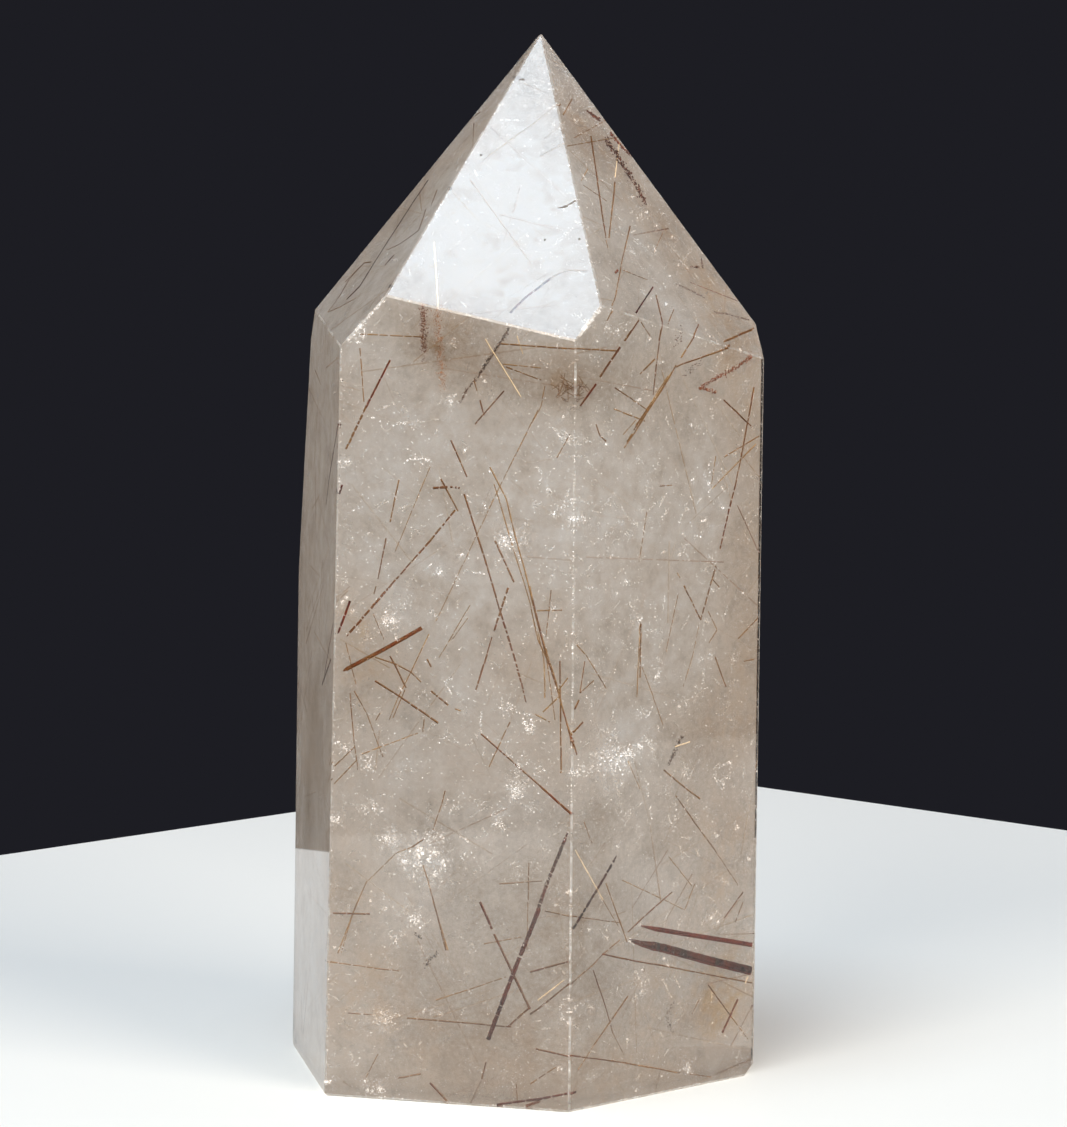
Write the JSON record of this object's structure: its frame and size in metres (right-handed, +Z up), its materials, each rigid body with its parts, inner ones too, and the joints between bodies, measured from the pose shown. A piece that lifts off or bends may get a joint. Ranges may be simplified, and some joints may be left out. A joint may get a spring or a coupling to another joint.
{
  "type": "golden rutilated quartz tower",
  "caption": "Polished six-sided tower of milky champagne quartz with a faceted point and golden rutile needles inside, standing on its flat sawn base.",
  "frame": {"origin": "middle of the flat base, on the surface that the tower stands on", "axes": "+Z up towards the point, -Y towards the two broad front faces"},
  "size_m": [0.0321, 0.0325, 0.0699],
  "materials": {
    "quartz": "polished faces on milky, slightly smoky quartz",
    "rutile": "golden to reddish brown needles, glossy",
    "veil": "white, silvery flecks of healed cracks inside the stone",
    "rust": "rusty brown specks inside the stone"
  },
  "bodies": {
    "root": {"quartz_tower": "quartz"}
  },
  "joints": []
}
